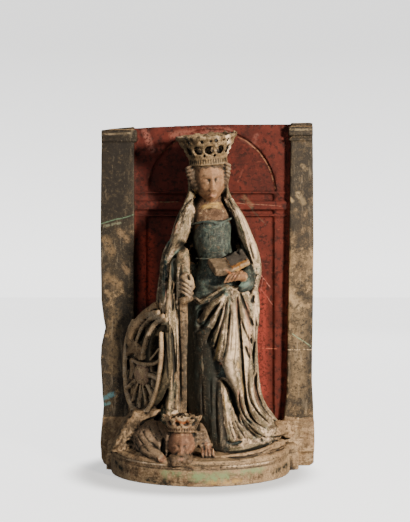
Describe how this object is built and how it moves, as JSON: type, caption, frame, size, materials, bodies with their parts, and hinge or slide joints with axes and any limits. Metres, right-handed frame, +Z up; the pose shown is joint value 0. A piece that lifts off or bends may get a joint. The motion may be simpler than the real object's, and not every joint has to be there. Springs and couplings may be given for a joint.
{
  "type": "carved saint statue",
  "caption": "High relief carved from one block of painted limestone: a crowned saint with book, sword and wheel in an arched niche on a half-round base.",
  "frame": {"origin": "middle of the underside's bounding rectangle, on the surface that the relief stands on", "axes": "+Z up, -Y the front that the saint faces, +X to the viewer's right"},
  "size_m": [0.375, 0.202, 0.6],
  "materials": {
    "limestone": "carved and painted, worn matt"
  },
  "bodies": {
    "root": {"saint_relief": "limestone"}
  },
  "joints": []
}
